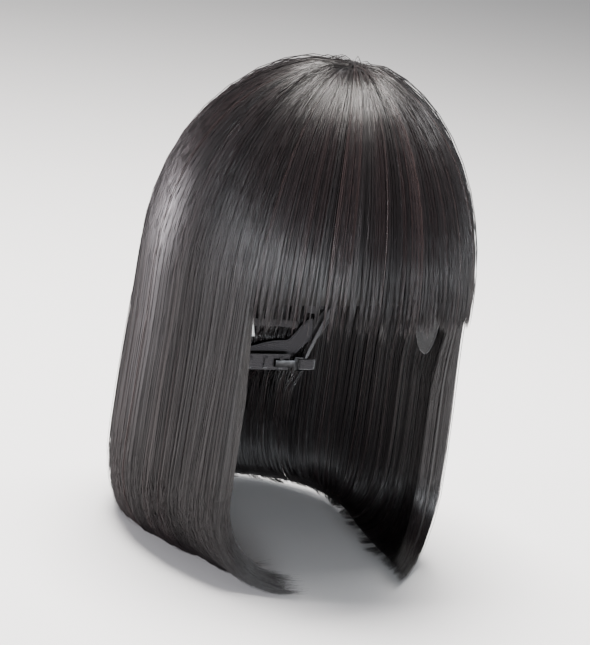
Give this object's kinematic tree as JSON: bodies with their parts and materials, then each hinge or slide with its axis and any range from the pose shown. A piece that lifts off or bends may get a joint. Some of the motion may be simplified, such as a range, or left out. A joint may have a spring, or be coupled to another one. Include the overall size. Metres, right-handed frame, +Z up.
{
  "type": "costume wig",
  "caption": "Straight chin-length bob wig with a full fringe and turned-under ends, sewn on an open weft cap with ear tabs and nape adjusters.",
  "frame": {"origin": "the point inside the crown where the top of the wearer's head meets the cap", "axes": "+Z up out of the crown, -Y the way the wearer faces, +X the wearer's left"},
  "size_m": [0.167, 0.202, 0.2628],
  "materials": {
    "hair": "glossy black synthetic fibre",
    "silicone_skin": "satin skin-toned silicone",
    "cap_net": "fine stretch net",
    "cap_fabric": "woven ribbon and velvet",
    "elastic": "ribbed knitted elastic",
    "stay_plastic": "covered springy strip",
    "hook_metal": "black coated metal",
    "label_satin": "blank satin ribbon"
  },
  "bodies": {
    "cap": {"crown_hair_front": "hair", "crown_hair_left": "hair", "crown_hair_right": "hair", "crown_hair_back": "hair", "back_corner_left": "hair", "back_corner_right": "hair", "nape_hair": "hair", "crown_skin": "silicone_skin", "crown_net": "cap_net", "front_band": "cap_fabric", "side_binding_left": "cap_fabric", "side_binding_right": "cap_fabric", "ribbon_front_centre": "cap_fabric", "ribbon_front_left": "cap_fabric", "ribbon_front_right": "cap_fabric", "ribbon_side_left": "cap_fabric", "ribbon_side_right": "cap_fabric", "ribbon_back_left": "cap_fabric", "ribbon_back_right": "cap_fabric", "ribbon_back_centre": "cap_fabric", "weft_back_1": "cap_fabric", "weft_back_2": "cap_fabric", "weft_back_3": "cap_fabric", "weft_back_4": "cap_fabric", "weft_back_5": "cap_fabric", "weft_back_6": "cap_fabric", "weft_back_7": "cap_fabric", "weft_back_8": "cap_fabric", "weft_front_1": "cap_fabric", "weft_front_2": "cap_fabric", "weft_front_3": "cap_fabric", "nape_band": "elastic", "loop_tape_left": "elastic", "loop_tape_right": "elastic", "adjuster_strap_left": "elastic", "adjuster_strap_right": "elastic", "care_label": "label_satin"},
    "fringe": {"fringe_hair": "hair"},
    "side_lock_left": {"side_lock_left": "hair"},
    "side_lock_right": {"side_lock_right": "hair"},
    "back_panel": {"back_panel": "hair"},
    "ear_tab_left": {"ear_tab_left": "cap_fabric", "ear_tab_stay_left": "stay_plastic"},
    "ear_tab_right": {"ear_tab_right": "cap_fabric", "ear_tab_stay_right": "stay_plastic"},
    "hook_left": {"hook_left": "hook_metal"},
    "hook_right": {"hook_right": "hook_metal"}
  },
  "joints": [
    {"name": "fringe_lift", "type": "hinge", "parent": "cap", "child": "fringe", "pos_m": [0, -0.09161, -0.06], "axis": [-1, 0, 0], "range_deg": [0, 45], "stiffness_Nm_per_rad": 0.004, "springref_deg": -40.11},
    {"name": "side_lock_left_swing", "type": "hinge", "parent": "cap", "child": "side_lock_left", "pos_m": [0.0805, 0.002, -0.1], "axis": [0, -1, 0], "range_deg": [0, 35], "stiffness_Nm_per_rad": 0.005, "springref_deg": -45.84},
    {"name": "side_lock_right_swing", "type": "hinge", "parent": "cap", "child": "side_lock_right", "pos_m": [-0.0805, 0.002, -0.1], "axis": [0, 1, 0], "range_deg": [0, 35], "stiffness_Nm_per_rad": 0.005, "springref_deg": -45.84},
    {"name": "back_panel_swing", "type": "hinge", "parent": "cap", "child": "back_panel", "pos_m": [0, 0.1035, -0.1], "axis": [1, 0, 0], "range_deg": [0, 35], "stiffness_Nm_per_rad": 0.008, "springref_deg": -45.84},
    {"name": "ear_tab_left_fold", "type": "hinge", "parent": "cap", "child": "ear_tab_left", "pos_m": [0.06306, -0.03623, -0.0984], "axis": [0.2107, 0.9775, 0], "range_deg": [0, 45], "stiffness_Nm_per_rad": 0.0002, "springref_deg": -22.92},
    {"name": "ear_tab_right_fold", "type": "hinge", "parent": "cap", "child": "ear_tab_right", "pos_m": [-0.06306, -0.03623, -0.0984], "axis": [0.2107, -0.9775, 0], "range_deg": [0, 45], "stiffness_Nm_per_rad": 0.0002, "springref_deg": -22.92},
    {"name": "hook_left_slide", "type": "slide", "parent": "cap", "child": "hook_left", "axis": [-0.9799, 0.1996, 0], "range_m": [0, 0.003], "stiffness_N_per_m": 40, "deforming": ["adjuster_strap_left"]},
    {"name": "hook_right_slide", "type": "slide", "parent": "cap", "child": "hook_right", "axis": [0.9799, 0.1996, 0], "range_m": [0, 0.003], "stiffness_N_per_m": 40, "deforming": ["adjuster_strap_right"]}
  ]
}
